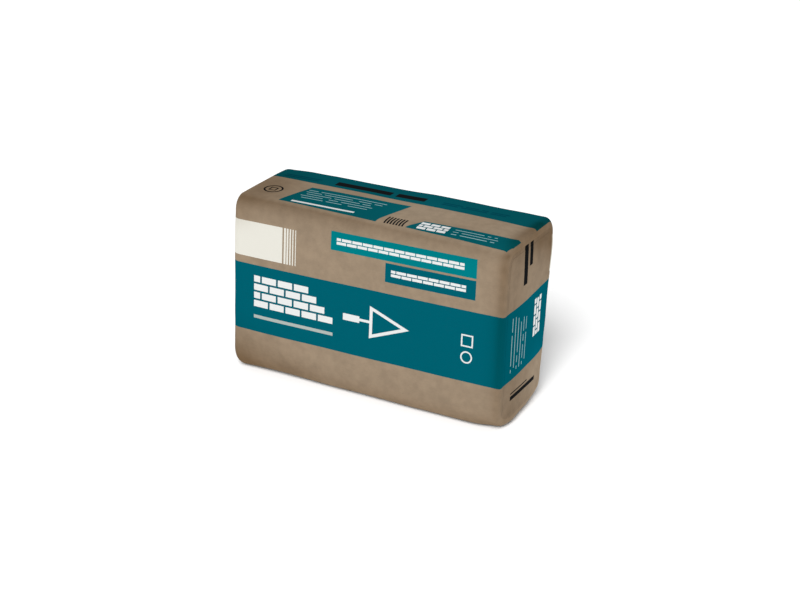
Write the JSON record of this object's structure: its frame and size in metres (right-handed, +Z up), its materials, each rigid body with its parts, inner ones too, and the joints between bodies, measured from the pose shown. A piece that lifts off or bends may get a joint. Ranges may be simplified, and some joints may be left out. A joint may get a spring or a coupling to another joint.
{
  "type": "cement bag",
  "caption": "Filled block-bottom paper valve sack of cement standing on its long narrow side, kraft paper with a plain printed band",
  "frame": {"origin": "middle of the flat face that the sack stands on", "axes": "+X along the sack's length towards its right end, -Y out of the wide printed front, +Z up"},
  "size_m": [0.43, 0.164, 0.2762],
  "materials": {
    "printed_kraft_paper": "brown kraft paper, matt, with a dark teal printed band",
    "cover_paper": "brown kraft paper, matt, pasted on",
    "sleeve_paper": "unprinted light brown kraft paper, matt"
  },
  "bodies": {
    "root": {"sack_body": "printed_kraft_paper", "end_cover_left": "cover_paper", "end_cover_right": "cover_paper", "valve_sleeve": "sleeve_paper"}
  },
  "joints": []
}
